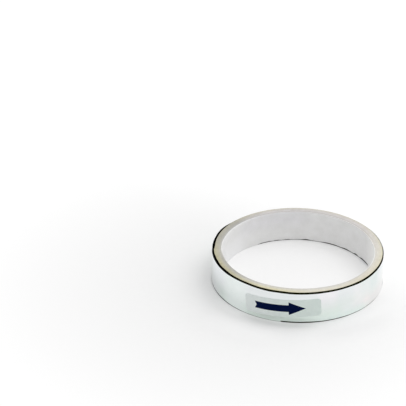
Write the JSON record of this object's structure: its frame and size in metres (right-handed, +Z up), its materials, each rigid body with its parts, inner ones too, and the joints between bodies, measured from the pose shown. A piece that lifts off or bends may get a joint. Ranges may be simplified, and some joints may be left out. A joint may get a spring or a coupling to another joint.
{
  "type": "roll of occlusion foil",
  "caption": "Narrow roll of very thin metallised foil wound on a short open paper tube, its free end held by a small paper label; dentists use it to test where teeth meet.",
  "frame": {"origin": "the axis of the paper tube, at the level of the surface on which the roll lies", "axes": "+Z up along the tube's axis; -Y is the side on which the label holds the foil's free end"},
  "size_m": [0.043, 0.0431, 0.0083],
  "materials": {
    "greyboard": "cut edge of spirally wound greyboard, matt and slightly fibrous",
    "liner_paper": "matt white lining paper",
    "foil": "bright metallised, mirror-like, with a very faint green cast",
    "label_paper": "satin coated label paper"
  },
  "bodies": {
    "root": {"tube_board": "greyboard", "tube_liner": "liner_paper", "foil_winding": "foil", "label": "label_paper"}
  },
  "joints": []
}
